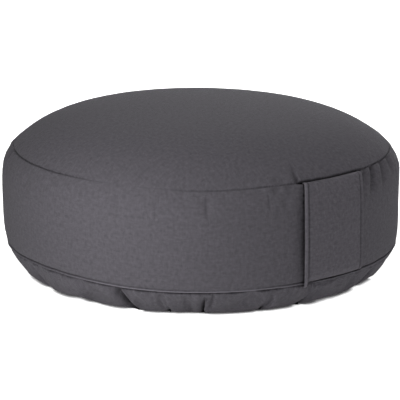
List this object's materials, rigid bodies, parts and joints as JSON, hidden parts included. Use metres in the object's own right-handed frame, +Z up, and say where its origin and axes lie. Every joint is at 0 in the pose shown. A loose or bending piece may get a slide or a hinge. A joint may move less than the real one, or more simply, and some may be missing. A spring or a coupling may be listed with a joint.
{
  "type": "yoga cushion",
  "caption": "Round filled yoga cushion with a domed top, a sewn side band, a gathered underside and a flat carry strap on its side.",
  "frame": {"origin": "middle of the flat base, where the cushion lies on the floor", "axes": "+Z up through the middle of the domed top, -Y through the middle of the carry strap"},
  "size_m": [0.3511, 0.3548, 0.1462],
  "materials": {
    "cover_cloth": "matt charcoal cotton canvas",
    "strap_cloth": "matt charcoal cotton canvas, folded double"
  },
  "bodies": {
    "root": {"cushion": "cover_cloth", "handle": "strap_cloth"}
  },
  "joints": []
}
